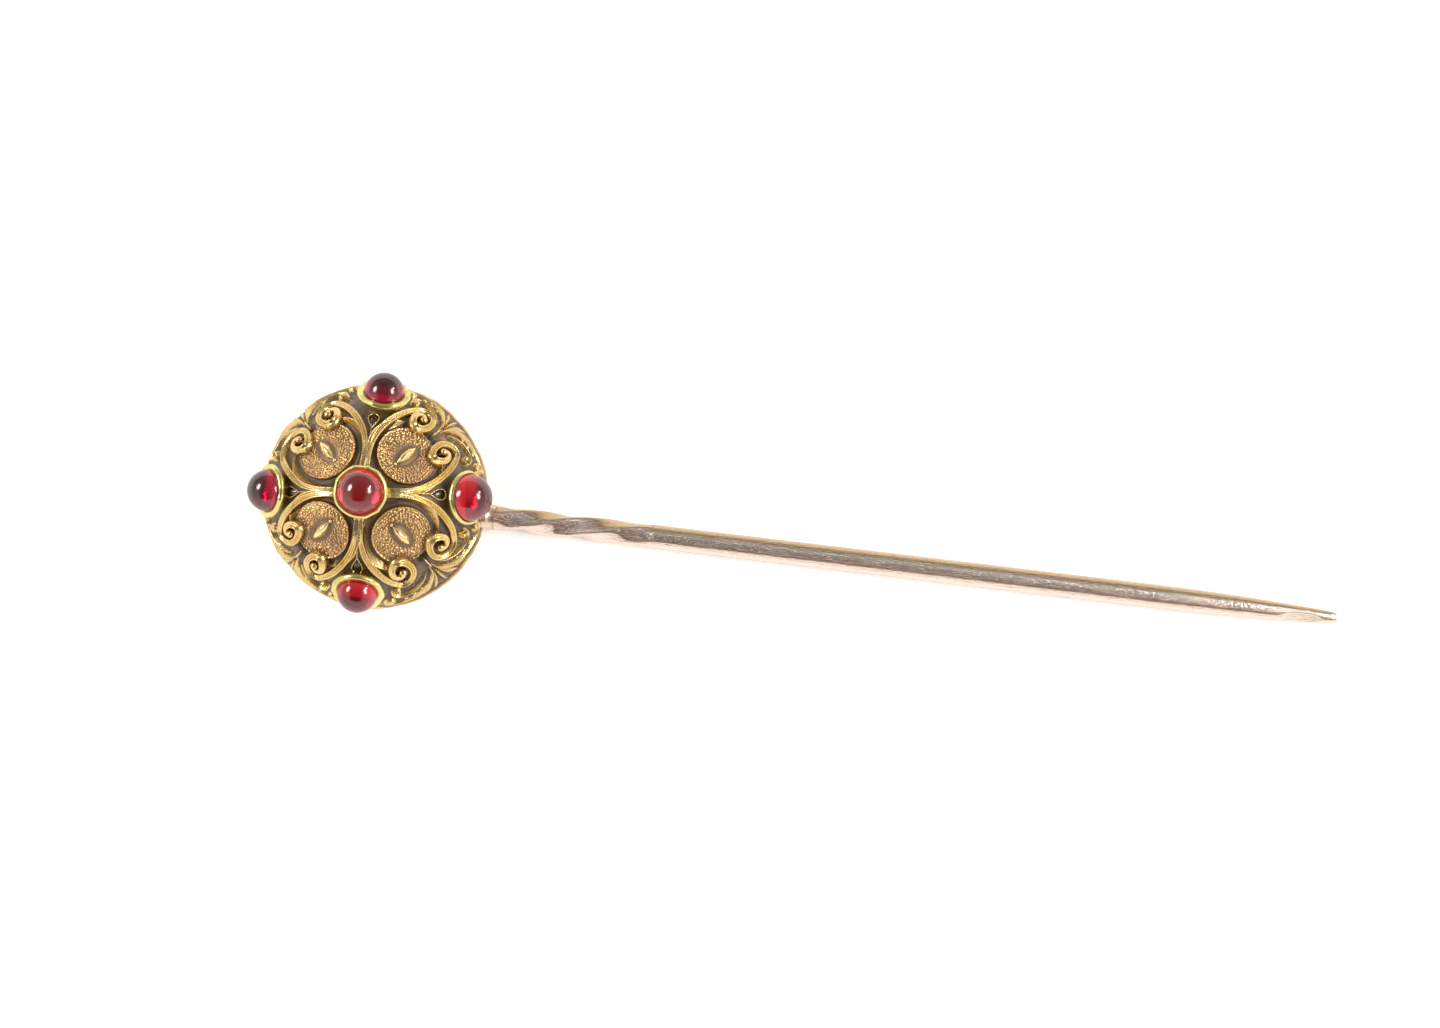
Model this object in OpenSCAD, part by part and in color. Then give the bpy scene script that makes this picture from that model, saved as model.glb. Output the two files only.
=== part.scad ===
// Stick pin with a domed head: five round cabochons in collets on a hollow dome dressed with scrolls,
// carried by a stem that is twisted next to the head and runs out to a blunt point.
// Frame: +Z is up through the middle of the dome and +X runs along the stem to its point.
// The origin is the centre of the head's rim, on the flat plane that the rim and the stem rest on.
// The stem runs beside the head's centre line, and its lowest line lies in that plane too.

/* [Head] */
// Radius of the outside of the dome
dome_r = 6.2; // [5.8:0.1:6.6]
// Thickness of the dome's sheet
dome_wall = 0.45; // [0.4:0.05:0.6]
// How far the rim ring stands out past the dome
rim_proud = 0.22; // [0.1:0.02:0.4]
// Height of the rim ring
rim_h = 0.5; // [0.4:0.05:0.7]
// Thickness of the plate that closes the head from behind
plate_t = 0.35; // [0.25:0.05:0.5]
// Turn of the whole ornament about the dome's axis
head_turn = 3.2; // [-5:0.2:5]
// Hand-made skew: how far neighbouring arms lean towards each other
head_skew = 2.6; // [0:0.2:4]
// How far the ornament's middle lies off the top of the dome, in degrees
head_lean = 2.3; // [0:0.1:3]

/* [Settings] */
// Diameter of the middle cabochon
middle_stone_d = 2.46; // [2.2:0.02:2.6]
// Diameters of the right, upper, left and lower cabochons
side_stone_ds = [2.6, 2.24, 2.32, 2.24]; // [2.2:0.02:2.6]
// Height of a cabochon's straight girdle
girdle_h = 0.25; // [0.2:0.05:0.4]
// Outer diameter of a collet at its lip
lip_d = 3; // [2.9:0.05:3.1]
// Outer diameter of a collet where it meets the dome
collet_foot_d = 2; // [1.8:0.1:2.2]
// Height of a collet's lip over the dome
lip_rise = 0.75; // [0.6:0.05:0.9]
// Leans of the right, upper, left and lower settings away from the middle one
side_tilts = [55, 55.5, 52.5, 53]; // [51:0.5:56]
// Directions of the right, upper, left and lower settings round the middle one
side_turns = [4.5, 87.5, 185, 271.5]; // [0:0.5:360]

/* [Scrolls] */
// Width of the petal wires
wire_w = 0.38; // [0.3:0.02:0.4]
// Height of the petal wires over the dome
wire_h = 0.3; // [0.2:0.02:0.4]
// Lean of each petal's stippled pad away from the dome's axis
pad_tilt = 33; // [32:0.5:34]
// Radius of each pad
pad_r = 1.65; // [1.5:0.05:1.7]
// Width of the hollow channel round each pad
channel_w = 0.4; // [0.3:0.05:0.45]
// Lean of the pointed leaf's middle away from the dome's axis
navette_tilt = 30; // [28:0.5:32]
// Length of the pointed leaf on each pad
navette_l = 1.5; // [1.2:0.1:1.8]
// Width of the pointed leaf on each pad
navette_w = 0.64; // [0.4:0.02:0.7]
// Angle between a volute's centre and the middle of its petal
volute_spread = 13.2; // [12.6:0.2:14]
// Lean of the volutes' centres away from the dome's axis
volute_tilt = 50; // [49:0.5:51]
// Outer radius of a volute's spiral
volute_r = 1; // [0.8:0.05:1.05]

/* [Stem] */
// Diameter of the stem
stem_d = 1.4; // [1.2:0.05:1.5]
// Distance from the head's centre to the point
reach = 54.3; // [45:0.1:70]
// Distance of the stem's axis to the side of the head's centre
stem_offset = 0.4; // [0:0.1:1]
// Where the twisted stretch starts
twist_from = 7; // [6.8:0.1:8]
// Length of the twisted stretch
twist_l = 8.6; // [6:0.2:10]
// Turn of the twisted stretch from end to end
twist_turn = 220; // [180:10:360]
// Depth of the flats on the twisted stretch
twist_flat = 0.09; // [0.05:0.01:0.16]
// Length of the taper at the point
taper_l = 10.3; // [6:0.1:12]
// Radius that is left at the point, as a share of the stem's radius
tip_share = 0.48; // [0.3:0.02:0.6]
// Length over which the point is rounded off
tip_round = 0.4; // [0.3:0.05:0.5]

/* [Hidden] */
$fn = 64;
ARMS = [0, 90, 180, 270];
PETALS = [45, 135, 225, 315];
ARM_NAMES = ["right", "upper", "left", "lower"];
PETAL_NAMES = ["upper_right", "upper_left", "lower_left", "lower_right"];

GOLD = "goldenrod";
BRIGHT_GOLD = "khaki";
ROSE_GOLD = "burlywood";
DARK_GOLD = "darkgoldenrod";
GARNET = "crimson";

inner_r = dome_r - dome_wall;
rim_r = dome_r + rim_proud;
stem_r = stem_d / 2;
// Wires and leaves are let into the dome by this much, as solder would hold them
sink = 0.03;
// The back plate lies over the stem, with the saddle's web between them, and fits the dome all round
saddle_web = 0.3;
plate_z = stem_d + saddle_web;
plate_r = sqrt(pow(inner_r, 2) - pow(plate_z + plate_t, 2));
// Heights along a setting's own axis, measured from the dome's centre
lip_top = dome_r + lip_rise;
bearing_z = lip_top - 0.35;
foot_z = dome_r - 0.35;
foil_t = 0.06;
foil_drop = 0.1;
// Radius of the well under each stone, which the foil closes
well_r = 0.75;
// The channel's middle line, and the tube that cuts it
channel_r = pad_r + channel_w / 2;
channel_z = sqrt(pow(dome_r, 2) - pow(channel_r, 2));
// Direction in which the ornament's middle lies off the top of the dome
lean_towards = 137;
// A petal wire's side: [tilt, angle from the petal's middle] from the middle setting to its volute
PETAL_SIDE = [[12.5, 0], [12.5, 18], [12.5, 35.6], [16, 37.8], [20, 39], [25, 39.8], [30, 37.6], [35, 35.4],
    [40, 32.8], [45, 29.4], [50, 26.2], [54, 22.4]];
// The wire is low as far as this tilt, where the middle collet's lip hangs over it
under_lip = 14;
low_wire_h = 0.12;
// The spiral of a volute: where it starts and ends, the radius it ends at, and its narrower width
volute_from = 55;
volute_to = 600;
volute_end_r = 0.28;
volute_squash = 0.78;
volute_steps = 20;
twist_to = twist_from + twist_l;
taper_from = reach - taper_l;

// ---- Places on the dome ----

// The hand-made skew: an even angle round the dome becomes the angle it really has
function skewed(a) = a + head_turn + head_skew * cos(2 * a);

// Point on the dome at tilt t from the ornament's middle and at angle a round it
function on_dome(t, a) =
    let (f = skewed(a))
    [dome_r * sin(t) * cos(f), dome_r * sin(t) * sin(f), dome_r * cos(t)];

function unit(v) = v / norm(v);

// Angle at the dome's centre that an arc of this length makes
function arc_angle(l) = l / dome_r * 180 / PI;

// Section of a wire: rounded on top, with its foot let into the dome
function wire_section(w, h) = [
    [w / 2, -sink], [w / 2, h * 0.35], [w / 4, h], [-w / 4, h], [-w / 2, h * 0.35], [-w / 2, -sink]
];

// Section of a leaf: a sharp ridge along its middle
function leaf_section(w, h) = [[w / 2, -sink], [w / 2, h * 0.15], [0, h], [-w / 2, h * 0.15], [-w / 2, -sink]];

// Closed solid along a path of [tilt, angle, width, height] on the dome
module relief(path, ridged = false) {
    count = len(path);
    centre = [for (p = path) on_dome(p[0], p[1])];
    rings = [for (i = [0 : count - 1])
        let (along = unit(centre[min(i + 1, count - 1)] - centre[max(i - 1, 0)]),
             up = unit(centre[i]),
             side = unit(cross(up, along)),
             section = ridged ? leaf_section(path[i][2], path[i][3]) : wire_section(path[i][2], path[i][3]))
        [for (q = section) centre[i] + q[0] * side + q[1] * up]];
    m = len(rings[0]);
    points = [for (ring = rings) each ring];
    walls = [for (i = [0 : count - 2], j = [0 : m - 1])
        [i * m + j, i * m + (j + 1) % m, (i + 1) * m + (j + 1) % m, (i + 1) * m + j]];
    polyhedron(points, concat(
        [[for (j = [m - 1 : -1 : 0]) j]],
        walls,
        [[for (j = [0 : m - 1]) (count - 1) * m + j]]), convexity = 8);
}

// Straight path of a leaf: from and to are [tilt, angle], fattest in its middle
function leaf_path(from, to, w, h, steps = 6) = [for (i = [0 : steps])
    let (t = i / steps, p = from + (to - from) * t, k = 0.1 + 0.9 * sin(180 * t))
    [p[0], p[1], w * k, h * k]];

// ---- Head ----

// Leans its children from the dome's axis to the ornament's own
module ornament() {
    rotate([0, 0, lean_towards]) rotate([0, head_lean, 0]) rotate([0, 0, -lean_towards]) children();
}

// Puts its children on a setting's or pad's own axis: +Z out of the dome
module at_angle(a, tilt) {
    ornament() rotate([0, 0, skewed(a)]) rotate([0, tilt, 0]) children();
}

module at_side(i) {
    ornament() rotate([0, 0, side_turns[i]]) rotate([0, side_tilts[i], 0]) children();
}

module at_settings() {
    ornament() children();
    for (i = [0 : 3]) at_side(i) children();
}

// Bore along the stem's line, which opens the rim and the dome's side
module stem_bore(r) {
    translate([4, -stem_offset, stem_r]) rotate([0, 90, 0]) cylinder(r = r, h = 4);
}

module head_shell() {
    color(GOLD) difference() {
        sphere(r = dome_r);
        sphere(r = inner_r);
        translate([0, 0, rim_h - 10]) cube([20, 20, 20], center = true);
        at_settings() translate([0, 0, 4]) cylinder(d = collet_foot_d, h = 4);
        for (a = PETALS) at_angle(a, pad_tilt) translate([0, 0, channel_z + 0.06])
            rotate_extrude() translate([channel_r, 0]) circle(d = channel_w);
        stem_bore(stem_r + 0.02);
    }
}

// Flat underneath, so that the pin lies steady, and rounded on its outside
module rim_ring() {
    color(GOLD) difference() {
        rotate_extrude() difference() {
            translate([inner_r, 0]) square([rim_r - inner_r, rim_h]);
            translate([rim_r, rim_h]) circle(r = 0.15);
        }
        stem_bore(stem_r + 0.02);
    }
}

module back_plate() {
    color(DARK_GOLD) translate([0, 0, plate_z]) cylinder(r = plate_r, h = plate_t);
}

// ---- Stem ----

saddle_l = 6;
saddle_w = 2.4;
saddle_h = 1.2;

// Block that hugs the stem's upper half and joins it to the back plate
module stem_saddle() {
    color(DARK_GOLD) translate([0, -stem_offset, 0]) difference() {
        translate([-saddle_l / 2, -saddle_w / 2, plate_z - saddle_h]) cube([saddle_l, saddle_w, saddle_h]);
        translate([-saddle_l, 0, stem_r]) rotate([0, 90, 0]) cylinder(r = stem_r, h = 2 * saddle_l);
    }
}

// Solder over the stem where it comes out of the head; it keeps clear of the resting plane
module stem_solder() {
    color(BRIGHT_GOLD) difference() {
        translate([rim_r - 0.1, -stem_offset, stem_r]) rotate([0, 90, 0]) difference() {
            cylinder(r1 = stem_r + 0.3, r2 = stem_r + 0.06, h = 0.55);
            translate([0, 0, -1]) cylinder(r = stem_r, h = 3);
        }
        translate([0, -stem_offset - 2, stem_r * 0.4 - 2]) cube([10, 4, 2]);
    }
}

stem_from = -saddle_l / 2 - 0.6;
twist_steps = 32;
twist_sides = 16;
twist_lap = 0.3;

// Radius of the twisted stretch at angle a: a round bar with four flats, whose depth is k
function flatted(a, k) = stem_r - 0.02 - twist_flat * k * (1 - cos(4 * a)) / 2;

// Square-flatted bar turned about its own axis, round again where it meets the plain stem
module twisted_bar() {
    points = [for (i = [0 : twist_steps], j = [0 : twist_sides - 1])
        let (t = i / twist_steps, k = pow(sin(180 * t), 0.5), a = 360 * j / twist_sides,
             r = flatted(a + twist_turn * t, k))
        [r * cos(a), r * sin(a), twist_from - twist_lap + (twist_l + 2 * twist_lap) * t]];
    walls = [for (i = [0 : twist_steps - 1], j = [0 : twist_sides - 1])
        [i * twist_sides + j, (i + 1) * twist_sides + j,
         (i + 1) * twist_sides + (j + 1) % twist_sides, i * twist_sides + (j + 1) % twist_sides]];
    polyhedron(points, concat(
        [[for (j = [0 : twist_sides - 1]) j]],
        walls,
        [[for (j = [twist_sides - 1 : -1 : 0]) twist_steps * twist_sides + j]]), convexity = 4);
}

// Radius of the stem at distance x along it: the taper steepens towards its rounded end
function taper_r(x) =
    let (t = (x - taper_from) / taper_l, left = min(1, (reach - x) / tip_round))
    stem_r * (1 - (1 - tip_share) * pow(t, 1.9)) * sqrt(1 - pow(1 - left, 2));

module taper() {
    along = concat([for (i = [0 : 9]) taper_from + (taper_l - tip_round) * i / 9],
        [for (a = [18 : 18 : 72]) reach - tip_round * (1 - sin(a))]);
    rotate_extrude() polygon(concat([[0, taper_from]], [for (x = along) [taper_r(x), x]], [[0, reach]]));
}

module pin_stem() {
    color(ROSE_GOLD) translate([0, -stem_offset, stem_r]) rotate([0, 90, 0]) {
        translate([0, 0, stem_from]) cylinder(r = stem_r, h = twist_from - stem_from);
        twisted_bar();
        translate([0, 0, twist_to]) cylinder(r = stem_r, h = taper_from - twist_to);
        taper();
    }
}

// ---- Settings, each about its own axis ----

// Cup with a flared, rubbed-over lip and a bearing inside for a stone of diameter d
module collet_shape(d) {
    color(BRIGHT_GOLD) rotate_extrude() polygon([
        [0, foot_z], [collet_foot_d / 2, foot_z], [collet_foot_d / 2, dome_r - 0.05],
        [lip_d / 2 - 0.04, bearing_z - 0.02], [lip_d / 2, lip_top - 0.12], [lip_d / 2 - 0.08, lip_top],
        [d / 2, lip_top - 0.06], [d / 2, bearing_z], [well_r, bearing_z],
        [well_r, foot_z + 0.3], [0, foot_z + 0.3]
    ]);
}

// Shallow cup of bright foil that closes the collet under the stone
module foil_shape() {
    color("orangered") rotate_extrude() polygon([
        [0, bearing_z - foil_drop - foil_t], [well_r, bearing_z - foil_drop - foil_t],
        [well_r, bearing_z], [well_r - foil_t, bearing_z], [well_r - 0.2, bearing_z - foil_drop],
        [0, bearing_z - foil_drop]
    ]);
}

// Round high-domed cabochon of diameter d with a flat back
module garnet_shape(d) {
    color(GARNET, 0.8) rotate_extrude() union() {
        translate([0, bearing_z]) square([d / 2, girdle_h]);
        intersection() {
            translate([0, bearing_z + girdle_h]) circle(r = d / 2);
            translate([0, bearing_z + girdle_h]) square(d);
        }
    }
}

// ---- Relief, for the petal whose middle is at angle mid ----

// Point f degrees round the spiral of a volute, as [tilt, angle from the petal's middle]
function volute_point(f) =
    let (r = volute_r + (volute_end_r - volute_r) * f / volute_to)
    [volute_tilt + arc_angle(r * sin(f)),
     volute_spread + arc_angle(volute_squash * r * cos(f)) / sin(volute_tilt)];

// One side of a petal wire, from its inner end to the eye of its volute; turn is +1 or -1
function petal_side(mid, turn) = concat(
    [for (p = PETAL_SIDE) [p[0], mid + turn * p[1], wire_w, p[0] < under_lip ? low_wire_h : wire_h]],
    [for (i = [0 : volute_steps])
        let (t = i / volute_steps, p = volute_point(volute_from + (volute_to - volute_from) * t))
        [p[0], mid + turn * p[1], wire_w * (1 - 0.4 * t), wire_h * (1 + 0.25 * t)]]);

function backwards(list) = [for (i = [len(list) - 1 : -1 : 1]) list[i]];

module petal_wire(mid) {
    color(GOLD) relief(concat(backwards(petal_side(mid, 1)), petal_side(mid, -1)));
}

module navette(mid) {
    half = arc_angle(navette_l / 2);
    color(BRIGHT_GOLD) relief(leaf_path([navette_tilt - half, mid], [navette_tilt + half, mid],
        navette_w, 0.36), ridged = true);
}

// Two scallops of wire that spring from between the volutes and run out beside the rim
module scallop_wire(mid) {
    cusp = 60;
    foot = 80;
    span = 32;
    path = [for (a = [-span : 4 : span])
        [cusp + (foot - cusp) * pow(sin(90 * abs(a) / span), 0.8), mid + a, 0.26, 0.22]];
    color(GOLD) relief(path);
}

// Three fronds that spread from the cusp down to the rim
module palmette(mid) {
    top = 65;
    foot = 84;
    color(GOLD) for (lean = [-8, 0, 8])
        relief(leaf_path([top, mid + lean * 0.36], [foot - abs(lean) * 0.1, mid + lean], 0.3, 0.22, 4),
            ridged = true);
}

// Dark drop in the fork of an arm, just inside the outer setting
module drop_bead(arm) {
    top = 37;
    foot = 42;
    color("dimgray") relief(leaf_path([top, arm], [foot, arm], 0.3, 0.2, 4));
}

// ---- Nodes ----

head_shell();
rim_ring();
back_plate();
stem_saddle();
stem_solder();
pin_stem();
ornament() collet_shape(middle_stone_d);  // collet_centre
ornament() foil_shape();  // foil_centre
ornament() garnet_shape(middle_stone_d);  // garnet_centre
for (i = [0 : 3]) {
    at_side(i) collet_shape(side_stone_ds[i]);
    at_side(i) foil_shape();
    at_side(i) garnet_shape(side_stone_ds[i]);
    ornament() drop_bead(ARMS[i]);
    ornament() petal_wire(PETALS[i]);
    ornament() navette(PETALS[i]);
    ornament() scallop_wire(PETALS[i]);
    ornament() palmette(PETALS[i]);
}
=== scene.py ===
"""The looks of a gold stick pin: a chased dome with five garnets on a twisted, pointed stem."""
import math

import bmesh
import bpy
import numpy as np
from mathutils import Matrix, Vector

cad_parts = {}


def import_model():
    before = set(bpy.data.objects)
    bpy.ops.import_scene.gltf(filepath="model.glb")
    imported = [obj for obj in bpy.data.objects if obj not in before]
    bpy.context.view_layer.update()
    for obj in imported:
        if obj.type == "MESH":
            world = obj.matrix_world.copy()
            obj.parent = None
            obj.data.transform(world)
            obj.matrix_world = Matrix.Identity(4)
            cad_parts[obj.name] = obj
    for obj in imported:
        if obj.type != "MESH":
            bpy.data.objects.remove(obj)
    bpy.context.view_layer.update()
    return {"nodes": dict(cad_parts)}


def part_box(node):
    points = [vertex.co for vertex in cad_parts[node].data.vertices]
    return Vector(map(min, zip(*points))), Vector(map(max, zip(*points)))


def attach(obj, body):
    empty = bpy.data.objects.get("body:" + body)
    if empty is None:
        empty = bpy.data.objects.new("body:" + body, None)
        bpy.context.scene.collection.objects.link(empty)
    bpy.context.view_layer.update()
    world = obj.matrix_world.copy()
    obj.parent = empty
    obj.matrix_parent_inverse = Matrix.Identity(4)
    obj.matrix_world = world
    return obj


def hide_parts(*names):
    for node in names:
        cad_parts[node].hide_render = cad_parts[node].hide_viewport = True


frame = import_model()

MM = 0.001
ROOT = "root"
ARMS = {"right": 0.0, "upper": 90.0, "left": 180.0, "lower": 270.0}
PETALS = {"upper_right": 45.0, "upper_left": 135.0, "lower_left": 225.0, "lower_right": 315.0}


# ---- Sizes read from the frame, in millimetres ----

def box_mm(node):
    low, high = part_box(node)
    return np.array(low) / MM, np.array(high) / MM


shell_low, shell_high = box_mm("head_shell")
ring_low, ring_high = box_mm("rim_ring")
stem_low, stem_high = box_mm("pin_stem")
collet_low, collet_high = box_mm("collet_centre")
stone_low, stone_high = box_mm("garnet_centre")

DOME_R = (shell_high[0] - shell_low[0]) / 2
RIM_R = (ring_high[0] - ring_low[0]) / 2
RIM_H = ring_high[2]
STEM_R = (stem_high[2] - stem_low[2]) / 2
STEM_Y = (stem_high[1] + stem_low[1]) / 2
STEM_Z = (stem_high[2] + stem_low[2]) / 2
TIP_X = stem_high[0]
LIP_R = (collet_high[0] - collet_low[0]) / 2

# The ornament's angles in degrees, as the frame's own ornament has them
HEAD_TURN = 3.2
HEAD_SKEW = 2.6
HEAD_LEAN = 2.3
LEAN_TOWARDS = 137.0
# Tilt and direction of each setting round the middle one
SETTINGS = {"centre": (0.0, 0.0), "right": (55.0, 4.5), "upper": (55.5, 87.5),
            "left": (52.5, 185.0), "lower": (53.0, 271.5)}
# Tilts of the pads, pointed leaves and volutes, and the angle from a volute to its petal's middle
PAD_TILT = 30.5
NAVETTE_TILT = 30.0
VOLUTE_TILT = 50.0
VOLUTE_SPREAD = 13.2
# How far each hand-raised volute lies off its even place, in degrees of tilt and angle,
# by its petal's middle and its side of it
VOLUTE_NUDGE = {(45, 1): (1.0, 0.4), (45, -1): (-3.0, -3.0),
                (135, -1): (-2.6, -2.2), (135, 1): (-4.0, -2.4),
                (315, 1): (0.0, -0.2), (315, -1): (-3.0, -3.4),
                (225, -1): (-4.0, -3.0), (225, 1): (-1.6, 2.2)}


# ---- Places on the dome ----

def turned(axis, angle):
    """Matrix that turns by this many degrees about Y or Z."""
    c, s = math.cos(math.radians(angle)), math.sin(math.radians(angle))
    if axis == "Y":
        return np.array([[c, 0, s], [0, 1, 0], [-s, 0, c]])
    return np.array([[c, -s, 0], [s, c, 0], [0, 0, 1]])


# Turns the dome's axis into the ornament's own
ORNAMENT = turned("Z", LEAN_TOWARDS) @ turned("Y", HEAD_LEAN) @ turned("Z", -LEAN_TOWARDS)

# The middle setting's heights along its own axis, from the dome's centre
lean_cos, lean_sin = math.cos(math.radians(HEAD_LEAN)), math.sin(math.radians(HEAD_LEAN))
middle_r = (stone_high[0] - stone_low[0]) / 2
LIP_TOP = (collet_high[2] - (LIP_R - 0.08) * lean_sin) / lean_cos
STONE_CENTRE = (stone_high[2] - middle_r) / lean_cos
STONE_BASE = (stone_low[2] + middle_r * lean_sin) / lean_cos


def stone_radius(name):
    low, high = box_mm(f"garnet_{name}")
    return max(high[0] - low[0], high[1] - low[1]) / 2


def skewed(a):
    """Angle round the ornament for an even angle: its cross isn't quite square."""
    return a + HEAD_TURN + HEAD_SKEW * np.cos(np.radians(2 * a))


def unskewed(a):
    """Even angle for an angle round the ornament."""
    raw = a - HEAD_TURN
    for _ in range(3):
        raw = a - HEAD_TURN - HEAD_SKEW * np.cos(np.radians(2 * raw))
    return raw


def dome_dir(tilt, a):
    """Unit vectors at a tilt from the ornament's axis and an even angle round it, in degrees."""
    t, f = np.radians(tilt), np.radians(skewed(np.asarray(a, float)))
    t, f = np.broadcast_arrays(t, f)
    return np.stack([np.sin(t) * np.cos(f), np.sin(t) * np.sin(f), np.cos(t)], axis=-1) @ ORNAMENT.T


def dome_angles(directions):
    """Tilt and even angle, in degrees, of unit vectors."""
    d = directions @ ORNAMENT
    tilt = np.degrees(np.arccos(np.clip(d[:, 2], -1, 1)))
    return tilt, unskewed(np.degrees(np.arctan2(d[:, 1], d[:, 0])))


def on_axis(verts, tilt, turn):
    """Turns a shape made round +Z onto a setting's own axis."""
    return np.asarray(verts, float) @ (ORNAMENT @ turned("Z", turn) @ turned("Y", tilt)).T


def deg(arc_mm):
    """Tilt in degrees of an arc length along the dome."""
    return np.degrees(np.asarray(arc_mm, float) / DOME_R)


def unit(v):
    return v / np.maximum(np.linalg.norm(v, axis=-1, keepdims=True), 1e-12)


def smooth(x, low, high):
    """Soft step from 0 at low to 1 at high."""
    t = np.clip((x - low) / (high - low), 0, 1)
    return t * t * (3 - 2 * t)


# ---- Mesh helpers ----

def make_piece(name, verts_mm, faces, material, node=None, crest=None):
    """A smooth-shaded piece on the one body; crest is 0 in its hollows and 1 on its ridges."""
    mesh = bpy.data.meshes.new(name)
    mesh.from_pydata((np.asarray(verts_mm) * MM).tolist(), [], faces)
    mesh.validate()
    work = bmesh.new()
    work.from_mesh(mesh)
    bmesh.ops.recalc_face_normals(work, faces=work.faces)
    work.to_mesh(mesh)
    work.free()
    mesh.shade_smooth()
    if crest is not None:
        mesh.attributes.new("crest", "FLOAT", "POINT").data.foreach_set(
            "value", np.asarray(crest, np.float32))
    piece = bpy.data.objects.new(name, mesh)
    bpy.context.scene.collection.objects.link(piece)
    mesh.materials.append(material)
    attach(piece, ROOT)
    if node:
        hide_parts(node)


def grid_faces(rows, columns, wrap, wrap_rows=False):
    """Quads of a grid of points; wrap joins its last column to its first, wrap_rows its rows."""
    i, j = np.meshgrid(np.arange(rows if wrap_rows else rows - 1),
                       np.arange(columns if wrap else columns - 1), indexing="ij")
    i, j = i.ravel(), j.ravel()
    k, n = (j + 1) % columns, (i + 1) % rows
    corners = [i * columns + j, n * columns + j, n * columns + k, i * columns + k]
    return np.stack(corners, axis=1).tolist()


def capped(rows, columns):
    """Faces of a closed solid from rows of rings, with a flat cap on each end."""
    faces = grid_faces(rows, columns, True)
    faces.append(list(range(columns)))
    faces.append([(rows - 1) * columns + j for j in range(columns - 1, -1, -1)])
    return faces


def spline(points, per_span):
    """Catmull-Rom curve through rows of numbers."""
    p = np.asarray(points, float)
    p = np.vstack([2 * p[0] - p[1], p, 2 * p[-1] - p[-2]])
    t = np.linspace(0, 1, per_span, endpoint=False)[:, None]
    out = []
    for a, b, c, d in zip(p[:-3], p[1:-2], p[2:-1], p[3:]):
        out.append(0.5 * (2 * b + (c - a) * t + (2 * a - 5 * b + 4 * c - d) * t ** 2
                          + (3 * b - a - 3 * c + d) * t ** 3))
    return np.vstack(out + [p[-2][None]])


def resample(rows, step):
    """Rows of [tilt, angle, width, height], spread evenly every step mm along the dome."""
    where = dome_dir(rows[:, 0], rows[:, 1]) * DOME_R
    gone = np.concatenate([[0], np.cumsum(np.linalg.norm(np.diff(where, axis=0), axis=1))])
    count = max(4, int(gone[-1] / step) + 1)
    to = np.linspace(0, gone[-1], count)
    return np.stack([np.interp(to, gone, rows[:, k]) for k in range(rows.shape[1])], axis=1)


# A section is rows of [sideways, height, height of the valley between its two crests, crest]
def band_section():
    """Concave band with a high outer crest on its + side and a lower lip on its - side."""
    v = np.linspace(-1, 1, 21)
    wall = smooth(1 - np.abs(v), 0, 0.34)
    h = wall * (0.92 + 0.08 * v)
    valley = 0.5 * np.exp(-((v - 0.02) / 0.4) ** 2)
    return np.stack([v, h, valley, np.clip(wall * 1.05, 0, 1)], axis=1)


def lip_section():
    """Sharp lip on its + side, with a long hollow slope down to its - side."""
    v = np.linspace(-1, 1, 17)
    h = np.where(v < 0.7, (np.clip(v + 1, 0, 2) / 1.7) ** 1.5, 1 - (v - 0.7) / 0.6)
    return np.stack([v, h, 0 * v, np.clip(0.3 + 0.75 * h, 0, 1)], axis=1)


def ridge_section(count, power):
    """Ridge with straight sides at a power of 1, and fuller ones below it."""
    v = np.linspace(-1, 1, count)
    h = np.clip(1 - np.abs(v), 0, 1) ** power
    return np.stack([v, h, 0 * v, np.clip(0.1 + h, 0, 1)], axis=1)


def leaf_section():
    """Two smooth faces that meet in a keel, bright all over."""
    v = np.linspace(-1, 1, 17)
    h = 1 - np.abs(v) ** 1.6
    return np.stack([v, h, 0 * v, np.clip(0.45 + h, 0, 1)], axis=1)


def round_section(count=13):
    v = np.linspace(-1, 1, count)
    h = np.sqrt(np.clip(1 - v ** 2, 0, 1))
    return np.stack([v, h, 0 * v, np.clip(0.15 + 0.85 * h, 0, 1)], axis=1)


# Centres and half widths of the relief wires, which the dome's ground rises to meet
wire_points = []
SWEEP_STEP = 0.045
# How far a wire's flat underside lies below its sunk edges
UNDERSIDE = 0.1
# The relief sinks to this part of its height between these tilts, where it nears the rim
RIM_FLATTENING = 0.45
FLATTEN_FROM, FLATTEN_TO = 70, 82


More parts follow.
